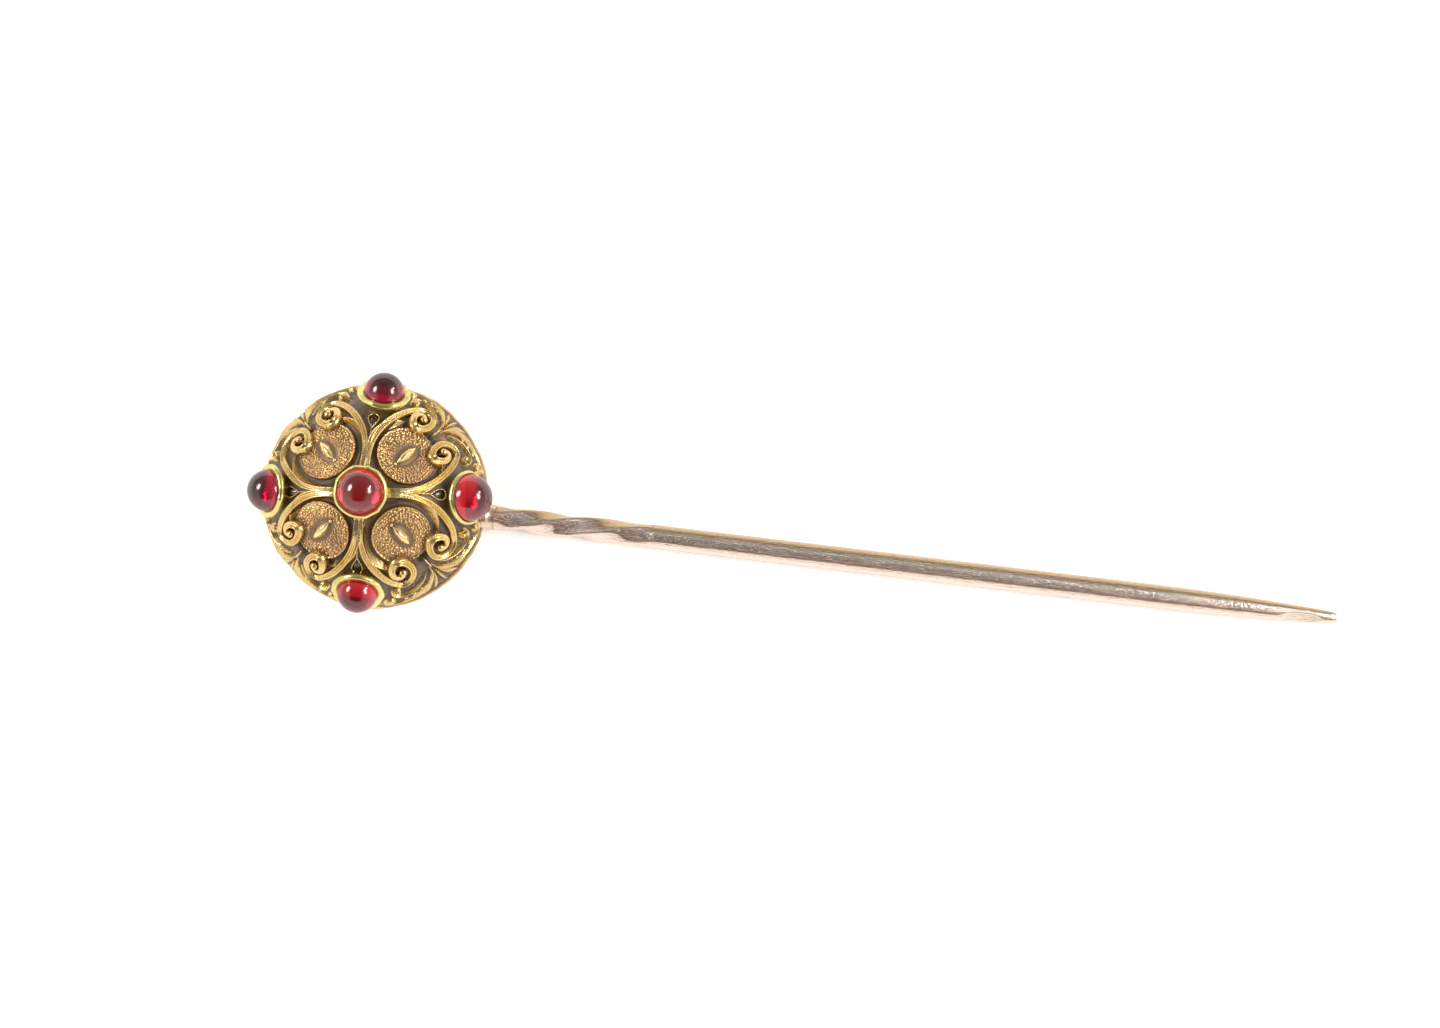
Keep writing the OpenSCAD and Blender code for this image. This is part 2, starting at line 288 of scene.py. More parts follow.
def sweep(rows, section, foot, flip=1):
    """Relief wire along rows of [tilt, angle, width, height, valley], set foot mm into the dome."""
    rows = np.asarray(rows, float)
    if rows.shape[1] == 4:
        rows = np.column_stack([rows, np.zeros(len(rows))])
    rows = resample(rows, SWEEP_STEP)
    up = dome_dir(rows[:, 0], rows[:, 1])
    centre = up * DOME_R
    along = unit(np.gradient(centre, axis=0))
    side = unit(np.cross(up, along)) * flip
    v, h, valley, c = section.T
    half = rows[:, 2] / 2
    shape = h[None] - rows[:, 4][:, None] * valley[None]
    low = 1 - (1 - RIM_FLATTENING) * smooth(rows[:, 0], FLATTEN_FROM, FLATTEN_TO)
    rise = (rows[:, 3] * low)[:, None] * shape - foot * (1 - np.clip(h, 0, 1))[None] ** 1.5
    top = (centre[:, None] + side[:, None] * (half[:, None] * v[None])[..., None]
           + up[:, None] * rise[..., None])
    under = (centre[:, None] + side[:, None] * (half[:, None] * v[[-1, 0]][None])[..., None]
             - up[:, None] * (foot + UNDERSIDE))
    ring = np.concatenate([top, under], axis=1)
    n, m = ring.shape[:2]
    top_crest = np.clip(c[None] - 0.35 * rows[:, 4][:, None] * valley[None], 0, 1)
    crest = np.concatenate([top_crest, np.zeros((n, 2))], axis=1)
    wire_points.append(np.column_stack([centre, half]))
    return ring.reshape(-1, 3), capped(n, m), crest.ravel()


def join_parts(parts):
    """One vertex, face and crest list from several."""
    verts, faces, crest, base = [], [], [], 0
    for v, f, c in parts:
        verts.append(v)
        faces += [[k + base for k in face] for face in f]
        crest.append(c)
        base += len(v)
    return np.vstack(verts), faces, np.concatenate(crest)


# ---- Materials ----

def new_material(name):
    """Material with a Principled shader; the last value is its object coordinates."""
    material = bpy.data.materials.new(name)
    material.use_nodes = True
    nodes, links = material.node_tree.nodes, material.node_tree.links
    nodes.clear()
    out = nodes.new("ShaderNodeOutputMaterial")
    shader = nodes.new("ShaderNodeBsdfPrincipled")
    links.new(shader.outputs["BSDF"], out.inputs["Surface"])
    coords = nodes.new("ShaderNodeTexCoord").outputs["Object"]
    return material, nodes, links, shader, coords


def noise(nodes, links, coords, scale, detail, rough=0.55, stretch=None):
    """Noise output over object coordinates, optionally stretched."""
    if stretch:
        mapping = nodes.new("ShaderNodeMapping")
        mapping.inputs["Scale"].default_value = stretch
        links.new(coords, mapping.inputs["Vector"])
        coords = mapping.outputs["Vector"]
    node = nodes.new("ShaderNodeTexNoise")
    node.inputs["Scale"].default_value = scale
    node.inputs["Detail"].default_value = detail
    node.inputs["Roughness"].default_value = rough
    links.new(coords, node.inputs["Vector"])
    return node.outputs["Fac"]


def math_node(nodes, links, kind, a, b):
    """Output of a Math node; a and b are numbers or sockets."""
    node = nodes.new("ShaderNodeMath")
    node.operation = kind
    for socket, value in zip(node.inputs, (a, b)):
        if isinstance(value, (int, float)):
            socket.default_value = value
        else:
            links.new(value, socket)
    return node.outputs["Value"]


def ramp(nodes, links, factor, stops):
    """Colour ramp through stops of (place, (red, green, blue))."""
    node = nodes.new("ShaderNodeValToRGB")
    elements = node.color_ramp.elements
    while len(elements) < len(stops):
        elements.new(0.5)
    for element, (place, colour) in zip(elements, stops):
        element.position = place
        element.color = (*colour, 1)
    links.new(factor, node.inputs["Fac"])
    return node.outputs["Color"]


def map_range(nodes, links, value, from_low, from_high, to_low, to_high):
    """Clamped linear map of a socket's value."""
    node = nodes.new("ShaderNodeMapRange")
    node.clamp = True
    for socket, number in zip(node.inputs[1:5], (from_low, from_high, to_low, to_high)):
        socket.default_value = number
    links.new(value, node.inputs["Value"])
    return node.outputs["Result"]


def bump(nodes, links, height, distance, normal=None):
    """Normal for a height times a distance in metres, on top of another normal if given."""
    node = nodes.new("ShaderNodeBump")
    node.inputs["Distance"].default_value = distance
    node.inputs["Strength"].default_value = 1.0
    links.new(height, node.inputs["Height"])
    if normal:
        links.new(normal, node.inputs["Normal"])
    return node.outputs["Normal"]


def aged_gold(name, bright, mid, patina, rough_low, rough_high, grain=0.00002):
    """Gold that is bright on its crests and keeps a dark patina in its hollows."""
    material, nodes, links, shader, coords = new_material(name)
    crest = nodes.new("ShaderNodeAttribute")
    crest.attribute_name = "crest"
    cloud = noise(nodes, links, coords, 600, 6)
    fine = noise(nodes, links, coords, 5200, 4)
    worn = math_node(nodes, links, "ADD", crest.outputs["Fac"],
                     map_range(nodes, links, cloud, 0.3, 0.7, -0.22, 0.18))
    worn = math_node(nodes, links, "ADD", worn,
                     map_range(nodes, links, fine, 0.3, 0.7, -0.07, 0.07))
    colour = ramp(nodes, links, worn, [(0.04, patina), (0.3, mid), (0.62, bright)])
    links.new(colour, shader.inputs["Base Color"])
    links.new(map_range(nodes, links, worn, 0.05, 0.6, rough_high, rough_low),
              shader.inputs["Roughness"])
    links.new(map_range(nodes, links, worn, 0.0, 0.5, 0.3, 1.0), shader.inputs["Metallic"])
    links.new(bump(nodes, links, fine, grain), shader.inputs["Normal"])
    return material


GARNET_IOR = 1.76
# Stretches a noise into scratches along X
ALONG_X = (0.16, 1, 1)


def polished_gold(name, colour, tint, rough, scratch, dents):
    """Polished gold with fine scratches along X and faint dents."""
    material, nodes, links, shader, coords = new_material(name)
    cloud = noise(nodes, links, coords, 500, 4)
    links.new(ramp(nodes, links, cloud, [(0.3, tint), (0.65, colour)]), shader.inputs["Base Color"])
    shader.inputs["Metallic"].default_value = 1.0
    lines = noise(nodes, links, coords, 4200, 5, 0.7, ALONG_X)
    pits = noise(nodes, links, coords, 2600, 3)
    links.new(map_range(nodes, links, lines, 0.3, 0.75, rough, rough + 0.16),
              shader.inputs["Roughness"])
    first = bump(nodes, links, lines, scratch)
    links.new(bump(nodes, links, pits, dents, first), shader.inputs["Normal"])
    return material


# The stem's painted reflection bands, from its -Y side to its +Y side: lighter and darker colours
# by the way the surface faces, which stand in for the room reflected in the polished wire
STEM_PAINTED_REFLECTIONS = [(0.0, (0.6, 0.46, 0.4)), (0.07, (0.82, 0.66, 0.56)), (0.285, (0.86, 0.70, 0.58)),
              (0.305, (0.34, 0.2, 0.15)), (0.42, (0.80, 0.60, 0.48)), (0.64, (1.0, 0.88, 0.76)),
              (0.8, (0.40, 0.27, 0.15)), (0.87, (0.62, 0.44, 0.25))]


def painted_reflection_stem_material():
    """Rose gold with painted reflection bands, lighter and darker by the way its surface faces in
    Y, and fine scratches along X.
    """
    material, nodes, links, shader, coords = new_material("stem_gold")
    split = nodes.new("ShaderNodeSeparateXYZ")
    links.new(coords.node.outputs["Normal"], split.inputs["Vector"])
    lines = noise(nodes, links, coords, 4200, 5, 0.7, ALONG_X)
    glints = noise(nodes, links, coords, 13000, 3, 0.6, (0.3, 1, 1))
    # side picks the painted reflection band from the way the surface faces in Y
    side = math_node(nodes, links, "ADD", map_range(nodes, links, split.outputs["Y"], -1, 1, 0, 1),
                     map_range(nodes, links, lines, 0.3, 0.7, -0.02, 0.02))
    links.new(ramp(nodes, links, side, STEM_PAINTED_REFLECTIONS), shader.inputs["Base Color"])
    shader.inputs["Metallic"].default_value = 1.0
    links.new(map_range(nodes, links, lines, 0.3, 0.75, 0.08, 0.2), shader.inputs["Roughness"])
    first = bump(nodes, links, lines, 0.000016)
    links.new(bump(nodes, links, glints, 0.00005, first), shader.inputs["Normal"])
    return material


def garnet_material(name, deep, light, clear):
    """Clouded red stone; clear is how much light goes through it."""
    material, nodes, links, shader, coords = new_material(name)
    cloud = noise(nodes, links, coords, 420, 3)
    links.new(ramp(nodes, links, cloud, [(0.38, deep), (0.58, light)]), shader.inputs["Base Color"])
    shader.inputs["Roughness"].default_value = 0.13
    shader.inputs["IOR"].default_value = GARNET_IOR
    shader.inputs["Specular IOR Level"].default_value = 0.36
    shader.inputs["Transmission Weight"].default_value = clear
    return material


def foil_material():
    material, nodes, links, shader, coords = new_material("foil")
    crumple = noise(nodes, links, coords, 1800, 4)
    links.new(ramp(nodes, links, crumple, [(0.3, (0.95, 0.45, 0.4)), (0.7, (1.0, 0.75, 0.7))]),
              shader.inputs["Base Color"])
    shader.inputs["Metallic"].default_value = 0.25
    shader.inputs["Roughness"].default_value = 0.45
    links.new(bump(nodes, links, crumple, 0.00004), shader.inputs["Normal"])
    return material


def floor_material():
    """Plain pale tabletop, lit a little from within so that it comes out white."""
    material, nodes, links, shader, coords = new_material("floor")
    cloud = noise(nodes, links, coords, 12, 2)
    links.new(ramp(nodes, links, cloud, [(0.3, (0.92, 0.92, 0.92)), (0.7, (0.93, 0.93, 0.93))]),
              shader.inputs["Base Color"])
    shader.inputs["Roughness"].default_value = 0.9
    shader.inputs["Emission Color"].default_value = (1.0, 0.985, 0.965, 1)
    shader.inputs["Emission Strength"].default_value = 0.42
    return material


BRIGHT = (0.72, 0.52, 0.22)
MID = (0.32, 0.2, 0.085)
PATINA = (0.15, 0.118, 0.092)
head_gold = aged_gold("head_gold", (0.48, 0.31, 0.13), (0.19, 0.12, 0.06), (0.105, 0.085, 0.07),
                      0.3, 0.5)
leaf_gold = aged_gold("leaf_gold", (0.86, 0.68, 0.34), (0.45, 0.31, 0.14), PATINA, 0.2, 0.4)
scroll_gold = aged_gold("scroll_gold", BRIGHT, MID, PATINA, 0.27, 0.45, 0.00003)
pad_gold = aged_gold("pad_gold", (0.64, 0.40, 0.17), (0.31, 0.175, 0.08), (0.2, 0.135, 0.085),
                     0.28, 0.45)
rim_gold = aged_gold("rim_gold", (0.70, 0.50, 0.24), MID, PATINA, 0.2, 0.45)
drop_dark = aged_gold("drop_dark", (0.12, 0.12, 0.13), (0.06, 0.06, 0.065), (0.03, 0.03, 0.032),
                      0.18, 0.3)
collet_gold = polished_gold("collet_gold", (0.82, 0.72, 0.30), (0.66, 0.55, 0.18), 0.24,
                            0.000006, 0.00002)
# The stem's material paints the room's reflections into its colour as bands
stem_gold = painted_reflection_stem_material()
plate_gold = polished_gold("plate_gold", (0.78, 0.56, 0.30), (0.55, 0.36, 0.16), 0.3,
                           0.00001, 0.00002)
solder_gold = polished_gold("solder_gold", (0.74, 0.57, 0.39), (0.52, 0.38, 0.25), 0.2,
                            0.000004, 0.00003)
# Garnets: deep colour, light colour and clearness
# The deeper set is painted shade: the upper and left stones are the same garnet as the rest, made
# darker for how light falls on them
PAINTED_SHADE_RED = ((0.20, 0.0, 0.008), (0.32, 0.001, 0.02), 0.92)
FULL_RED = ((0.26, 0.0, 0.006), (0.80, 0.004, 0.02), 0.9)
# Painted shade: the upper and left stones take the darker reds
garnet_reds_with_painted_shade = {name: PAINTED_SHADE_RED if name in ("upper", "left") else FULL_RED for name in SETTINGS}
garnets = {name: garnet_material(f"garnet_{name}", *reds) for name, reds in garnet_reds_with_painted_shade.items()}
foil = foil_material()


# ---- Head ----

HEAD_SEED = 7
rng = np.random.default_rng(HEAD_SEED)


def even_hemisphere(side):
    """Unit directions over the upper half of a sphere, from a square grid of equal cells."""
    a = np.linspace(-1, 1, side)
    x, y = np.meshgrid(a, a, indexing="ij")
    wide = np.abs(x) >= np.abs(y)
    r = np.where(wide, x, y)
    with np.errstate(divide="ignore", invalid="ignore"):
        turn = np.where(wide, (math.pi / 4) * np.where(x == 0, 0, y / x),
                        math.pi / 2 - (math.pi / 4) * np.where(y == 0, 0, x / y))
    z = 1 - r ** 2
    flat = r * np.sqrt(np.maximum(2 - r ** 2, 0))
    return np.stack([flat * np.cos(turn), flat * np.sin(turn), z], axis=-1)


def arc_mm(directions, towards):
    """Distance in mm along the dome from a direction."""
    return np.arccos(np.clip(directions @ towards, -1, 1)) * DOME_R


def grain_field(points, grains, size):
    """Height 0 to 1 of round grains of this size at the points."""
    out = np.zeros(len(points))
    block_size = 4000
    for start in range(0, len(points), block_size):
        block = points[start:start + block_size]
        d2 = ((block[:, None] - grains[None]) ** 2).sum(-1).min(1)
        out[start:start + block_size] = np.clip(1 - d2 / (size / 2) ** 2, 0, 1)
    return out


# Pads, the channels round them, and the shell's wall, in mm
PAD_R = 1.72
PAD_SINK = 0.1
CHANNEL_W = 0.42
CHANNEL_DEPTH = 0.2
WALL = 0.45
# How far the shell's surface lies inside the plain dome
SHELL_INSET = 0.02
# Points a side in the shell's and lining's grids
SHELL_SIDE, LINING_SIDE = 316, 90
# Crest of the plain ground, between its hollows at 0 and its ridges at 1
GROUND_CREST = 0.36
# Rows of punched grains on the ground near the rim: first tilt, end and step in degrees
PUNCH_FROM, PUNCH_TO, PUNCH_STEP = 55, 86, 2.0
PUNCH_PITCH = 0.24
PUNCH_GRAIN = 0.25
# Rows of small grains on the pads, in mm
PAD_ROW = 0.15
PAD_PITCH = 0.165
PAD_GRAIN = 0.145
# Half length and half width of the bare place round a pad's pointed leaf
BARE_HALF_L, BARE_HALF_W = 1.05, 0.58
pad_dirs = {name: dome_dir(PAD_TILT, mid) for name, mid in PETALS.items()}
set_dirs = {name: on_axis([[0, 0, 1]], *place)[0] for name, place in SETTINGS.items()}


def nearest_wire(points):
    """Distance in mm from each point to the edge of the nearest relief wire, up to a reach."""
    wires = np.vstack(wire_points)
    reach, cell = 0.9, 1.0
    out = np.full(len(points), reach)
    keys = np.floor(wires[:, :3] / cell).astype(int)
    grid = {}
    for key, wire in zip(map(tuple, keys), wires):
        grid.setdefault(key, []).append(wire)
    spots = np.floor(points / cell).astype(int)
    order = np.lexsort(spots.T)
    edges = np.flatnonzero(np.any(np.diff(spots[order], axis=0) != 0, axis=1)) + 1
    for block in np.split(order, edges):
        at = spots[block[0]]
        near = [w for dx in (-1, 0, 1) for dy in (-1, 0, 1) for dz in (-1, 0, 1)
                for w in grid.get((at[0] + dx, at[1] + dy, at[2] + dz), ())]
        if near:
            near = np.array(near)
            gap = np.linalg.norm(points[block][:, None] - near[None, :, :3], axis=2)
            gap -= near[None, :, 3]
            out[block] = np.minimum(reach, gap.min(1))
    return out


def shell_height(directions):
    """Height over the plain dome, and crest, for unit directions."""
    tilt, turn = dome_angles(directions)
    off = (turn % 90) - 45
    height = np.zeros(len(directions))
    crest = np.full(len(directions), GROUND_CREST)
    for d in pad_dirs.values():
        r = arc_mm(directions, d)
        groove = np.exp(-((r - PAD_R - CHANNEL_W * 0.4) / (CHANNEL_W * 0.55)) ** 2)
        height -= CHANNEL_DEPTH * groove
        crest -= 0.12 * groove
        inside = 1 - smooth(r, PAD_R - 0.05, PAD_R + 0.05)
        height -= PAD_SINK * inside
    for name, d in set_dirs.items():
        near = 1 - smooth(arc_mm(directions, d), 1.15, 2.2)
        crest -= (0.06 if name == "centre" else 0.3) * near
        height -= 0.06 * near
    border = smooth(tilt, 56, 60) * (1 - smooth(np.abs(off), 27, 32))
    rows = []
    for t in np.arange(PUNCH_FROM, PUNCH_TO, PUNCH_STEP):
        count = int(2 * math.pi * DOME_R * math.sin(math.radians(t)) / PUNCH_PITCH)
        a = np.arange(count) * 360 / count + rng.uniform(-1, 1, count) + rng.uniform(0, 9)
        rows.append(dome_dir(t + rng.uniform(-0.5, 0.5, count), a))
    grains = np.vstack(rows)
    near_border = border > 0.01
    bumps = np.zeros(len(directions))
    bumps[near_border] = grain_field(directions[near_border] * DOME_R, grains * DOME_R, PUNCH_GRAIN)
    gap = nearest_wire(directions * DOME_R)
    foot = np.exp(-(np.maximum(gap, 0) / 0.16) ** 2)
    height += border * (0.07 * bumps - 0.08)
    height += 0.05 * foot
    crest += border * (0.4 * bumps - 0.2)
    crest -= 0.2 * foot * (gap < 0.5)
    return height, np.clip(crest, 0, 1)


def head_shell():
    directions = even_hemisphere(SHELL_SIDE).reshape(-1, 3)
    height, crest = shell_height(directions)
    edge = smooth(directions[:, 2], 0.0, 0.06)
    verts = directions * (DOME_R - SHELL_INSET + height * edge)[:, None]
    verts[:, 2] = np.maximum(verts[:, 2], RIM_H * 0.6)
    make_piece("head_shell_chased", verts, grid_faces(SHELL_SIDE, SHELL_SIDE, False), head_gold,
               "head_shell", crest)


def head_lining():
    """The smooth inside of the shell, down to the rim."""
    verts = even_hemisphere(LINING_SIDE).reshape(-1, 3) * (DOME_R - WALL)
    verts[:, 2] = np.maximum(verts[:, 2], RIM_H * 0.6)
    faces = [face[::-1] for face in grid_faces(LINING_SIDE, LINING_SIDE, False)]
    make_piece("head_lining", verts, faces, plate_gold)


def stippled_pad(name, mid):
    """Pad with rows of small grains, bare round its pointed leaf and along its edge."""
    centre = dome_dir(PAD_TILT, mid)
    out = unit(dome_dir(PAD_TILT + 1, mid) - centre)
    across = np.cross(centre, out)
    rings, around = 76, 210
    r = np.linspace(0.02, PAD_R + 0.08, rings)
    f = np.linspace(0, 2 * math.pi, around, endpoint=False)
    u = (r[:, None] * np.cos(f)[None]).ravel()
    v = (r[:, None] * np.sin(f)[None]).ravel()
    seeds = []
    for ring_r in np.arange(0.12, PAD_R, PAD_ROW):
        count = max(5, int(2 * math.pi * ring_r / PAD_PITCH))
        a = (np.arange(count) * 2 * math.pi / count + rng.uniform(0, 6)
             + rng.uniform(-0.06, 0.06, count) / ring_r)
        rr = ring_r + rng.uniform(-0.045, 0.045, count)
        seeds.append(np.stack([rr * np.cos(a), rr * np.sin(a), np.zeros(count)], axis=1))
    grains = np.vstack(seeds)
    bumps = grain_field(np.stack([u, v, np.zeros_like(u)], axis=1), grains, PAD_GRAIN)
    leaf_u = u - float(np.radians(NAVETTE_TILT - PAD_TILT)) * DOME_R
    leaf = np.sqrt((leaf_u / BARE_HALF_L) ** 2 + (v / BARE_HALF_W) ** 2)
    bare = 1 - smooth(leaf, 0.8, 1.08)
    moat = np.exp(-((leaf - 0.75) / 0.26) ** 2)
    away = np.sqrt(u ** 2 + v ** 2)
    edge = smooth(away, PAD_R - 0.1, PAD_R + 0.08)
    rim = np.exp(-((away - PAD_R + 0.1) / 0.06) ** 2)
    height = (0.04 + (0.055 * bumps - 0.02) * (1 - bare) * (1 - edge) - 0.06 * moat + 0.05 * rim
              - 0.34 * edge)
    crest = ((0.4 + 0.4 * bumps) * (1 - bare) + bare * GROUND_CREST - 0.1 * moat + 0.15 * rim
             - 0.4 * edge)
    base = unit(centre[None] + np.tan(np.hypot(u, v) / DOME_R)[:, None]
                * unit(u[:, None] * out[None] + v[:, None] * across[None]))
    gap = nearest_wire(base * DOME_R)
    crest -= 0.3 * np.exp(-(np.maximum(gap, 0) / 0.12) ** 2)
    verts = base * (DOME_R + height)[:, None]
    verts = np.vstack([verts, centre[None] * (DOME_R + height[0]), centre[None] * (DOME_R - 0.4)])
    middle, last = len(verts) - 2, (rings - 1) * around
    faces = grid_faces(rings, around, True)
    faces += [[middle, j, (j + 1) % around] for j in range(around)]
    faces += [[middle + 1, last + (j + 1) % around, last + j] for j in range(around)]
    make_piece(f"pad_{name}", verts, faces, pad_gold, None,
               np.append(np.clip(crest, 0, 1), [crest[0], 0]))


# ---- Relief ----

# A volute's first radius in mm, how much of it is gone at the end, and its shape across and along
VOLUTE_R = 1.0
VOLUTE_SHRINK = 0.8
VOLUTE_SQUASH = 0.82
VOLUTE_STRETCH = 1.12
# Where it starts and ends, in degrees round it
VOLUTE_FROM, VOLUTE_TO = 55, 500
# The round eye at its end
EYE_R, EYE_H = 0.21, 0.46
# How far from the middle of the pad the lip inside a band's edge runs
LIP_REACH = 2.06
# How deep bands and lips are set into the dome
BAND_FOOT, LIP_FOOT = 0.28, 0.2
# Half length and width of the pointed leaves
LEAF_HALF, LEAF_W = 0.75, 0.72
# A petal band's side, from under the middle collet to its volute: tilt, angle from the petal's
# middle, width, height and depth of the valley between its crests
BAND_SIDE = [[11.5, 36, 0.34, 0.12, 0.0], [14, 40.5, 0.38, 0.24, 0.0], [18, 41.8, 0.40, 0.28, 0.0],
             [22, 41.9, 0.40, 0.30, 0.15], [25, 41.3, 0.40, 0.32, 0.4], [29, 39.9, 0.42, 0.33, 0.7],
             [33, 38.0, 0.45, 0.34, 0.9], [37, 35.6, 0.49, 0.34, 1.0], [41, 32.9, 0.52, 0.34, 1.0],
             [45, 30.0, 0.53, 0.34, 1.0], [49, 27.0, 0.52, 0.34, 1.0], [53, 23.7, 0.50, 0.34, 1.0]]
# How the band goes on round the volute: degrees round it, width, height and valley
BAND_ROUND = [[55, 0.48, 0.34, 1.0], [180, 0.46, 0.40, 0.9], [250, 0.54, 0.50, 0.7],
              [320, 0.52, 0.50, 0.4], [400, 0.42, 0.44, 0.1], [500, 0.34, 0.44, 0.0]]


def volute_point(f, mid, turn):
    """Tilt, and angle from the petal's middle, of a point f degrees round a volute."""
    r = VOLUTE_R - VOLUTE_SHRINK * (f / VOLUTE_TO) ** 1.25
    raised, shifted = VOLUTE_NUDGE[int(mid), turn]
    settled = smooth(f, VOLUTE_FROM - 60, VOLUTE_FROM + 80)
    return (VOLUTE_TILT + raised * settled + deg(VOLUTE_STRETCH * r * np.sin(np.radians(f))),
            VOLUTE_SPREAD + turn * shifted * settled
            + deg(VOLUTE_SQUASH * r * np.cos(np.radians(f))) / math.sin(math.radians(VOLUTE_TILT)))


def band_rows(mid, turn):
    """Rows of one side of a petal's band: along its arm, past the setting and into its volute."""
    f = np.linspace(VOLUTE_FROM, VOLUTE_TO, 80)
    tilt, a = volute_point(f, mid, turn)
    table = np.array(BAND_ROUND)
    volute = np.column_stack([tilt, a] + [np.interp(f, table[:, 0], table[:, k])
                                          for k in (1, 2, 3)])
    rows = np.vstack([spline(BAND_SIDE + volute[:1].tolist(), 8)[:-1], volute])
    rows[:, 1] = mid + turn * rows[:, 1]
    return rows


def lip_rows(mid, turn):
    """Rows of the lip inside a petal's band, which slopes down to the channel round the pad."""
    bearing = np.radians(np.linspace(150, 48, 50))
    centre = dome_dir(PAD_TILT, mid)
    out = unit(dome_dir(PAD_TILT + 1, mid) - centre)
    across = unit(dome_dir(PAD_TILT, mid + turn) - centre)
    reach = LIP_REACH / DOME_R
    towards = np.cos(bearing)[:, None] * out[None] + np.sin(bearing)[:, None] * across[None]
    d = math.cos(reach) * centre[None] + math.sin(reach) * towards
    tilt, a = dome_angles(d)
    full = np.sin(np.linspace(0.12, math.pi - 0.12, 50)) ** 0.6
    return np.column_stack([tilt, a, 0.5 * full, 0.31 * full ** 1.7])


# Part of their height that knobs beside the rim lose
KNOB_FLATTENING = 0.45


def knob(centre, radius, height):
    """Small round-topped knob standing on the dome."""
    rings, around = 9, 20
    first = unit(np.cross(centre, [0.0, 0.0, 1.0]) + 1e-9)
    second = np.cross(centre, first)
    t = np.linspace(0.08, math.pi / 2, rings)
    f = np.linspace(0, 2 * math.pi, around, endpoint=False)
    rise = np.append(height - radius + radius * np.cos(t), -0.25)
    flat = np.append(radius * np.sin(t), radius)
    rise = rise * (1 - KNOB_FLATTENING * smooth(math.degrees(math.acos(centre[2])), 66, 78))
    ring = (centre * DOME_R)[None, None] + rise[:, None, None] * centre + flat[:, None, None] * (
        np.cos(f)[None, :, None] * first + np.sin(f)[None, :, None] * second)
    crest = np.clip(np.repeat((0.45 + 0.6 * rise / height)[:, None], around, 1), 0, 1)
    return ring.reshape(-1, 3), capped(rings + 1, around), crest.ravel()


def tapered(line, mid, turn, width, height, blunt=0.6):
    """Sweep rows of a leaf along [tilt, angle] points, fattest in its middle."""
    line = spline(line, 12)
    t = np.linspace(0, 1, len(line))
    full = np.sin(math.pi * (0.06 + 0.88 * t)) ** blunt
    return np.column_stack([line[:, 0], mid + turn * line[:, 1], width * full, height * full])


def relief(name, parts, node=None, material=scroll_gold):
    """One piece of several swept parts."""
    verts, faces, crest = join_parts(parts)
    make_piece(name, verts, faces, material, node, crest)


def petal_wire(name, mid):
    """A petal's two bands with their volutes, eyes and inner lips."""
    parts = []
    for turn in (1, -1):
        parts.append(sweep(band_rows(mid, turn), band_section(), BAND_FOOT, flip=-turn))
        parts.append(sweep(lip_rows(mid, turn), lip_section(), LIP_FOOT, flip=turn))
        eye_tilt, eye_at = volute_point(VOLUTE_TO, mid, turn)
        parts.append(knob(dome_dir(eye_tilt, mid + turn * eye_at), EYE_R, EYE_H))
    relief(f"petal_scrolls_{name}", parts, f"petal_wire_{name}")


def navette(name, mid):
    """Pointed leaf with a sharp keel, a grain at its inner end and a bud between the volutes."""
    half = deg(LEAF_HALF)
    t = np.linspace(-1, 1, 44)
    width = LEAF_W * (1 - np.abs(t) ** 2.4) ** 0.75 * (1 + 0.16 * t) + 0.02
    rows = np.column_stack([NAVETTE_TILT + half * t, np.full(len(t), mid), width,
                            0.07 + 0.3 * (1 - t ** 2)])
    parts = [sweep(rows, leaf_section(), 0.12)]
    parts.append(knob(dome_dir(NAVETTE_TILT - half - 0.8, mid), 0.1, 0.13))
    bud = tapered([[48.5, 0], [53, 0], [58, 0]], mid, 1, 0.34, 0.36)
    parts.append(sweep(bud, ridge_section(13, 0.9), 0.2))
    relief(f"pointed_leaf_{name}", parts, f"navette_{name}", leaf_gold)


# The border's two scrolls on each side of a petal's middle: tilt and angle from the middle
OUTER_SCROLL = [[55.5, 1.0], [60, 1.7], [64.5, 3.3], [69, 6.2], [73, 10], [76.5, 14.5],
                [79.2, 19.5], [80.6, 25], [79.6, 30], [75.5, 32.4], [71.8, 30.8], [71.6, 28],
                [74, 26.8], [76, 28.2]]
INNER_SCROLL = [[59.5, 5.0], [63, 7.6], [66, 11.4], [68.2, 16], [69, 21], [67.4, 25.2], [64, 26.6],
                [61.6, 24.4], [62.4, 21.8], [64.8, 22.2]]
# Each with its widths and their places along it, and its end knob's tilt, angle, radius and height
SCROLLS = [(OUTER_SCROLL, [0.2, 0.32, 0.36, 0.3, 0.24], [0, 0.1, 0.6, 0.8, 1],
            (75.2, 28.8, 0.16, 0.26)),
           (INNER_SCROLL, [0.12, 0.26, 0.3, 0.22], [0, 0.3, 0.7, 1], (64.4, 23.0, 0.14, 0.24))]
# Three beads beside each outer scroll: tilt, angle from the petal's middle, and radius
BEADS = [(70.2, 11.6, 0.09), (72.8, 16.2, 0.11), (74.4, 21.2, 0.13)]


def scallop_wire(name, mid):
    """A petal's four border scrolls, with a knob at each end and the beads between them."""
    parts = []
    for turn in (1, -1):
        for scroll, widths, places, (end_tilt, end_at, end_r, end_h) in SCROLLS:
            line = spline(scroll, 10)
            width = np.interp(np.linspace(0, 1, len(line)), places, widths)
            rows = np.column_stack([line[:, 0], mid + turn * line[:, 1], width, width * 0.8])
            parts.append(sweep(rows, ridge_section(13, 1.0), 0.2))
            parts.append(knob(dome_dir(end_tilt, mid + turn * end_at), end_r, end_h))
        for bead_tilt, bead_at, bead_r in BEADS:
            parts.append(knob(dome_dir(bead_tilt, mid + turn * bead_at), bead_r, 0.06 + bead_r))
    relief(f"scallops_{name}", parts, f"scallop_wire_{name}")


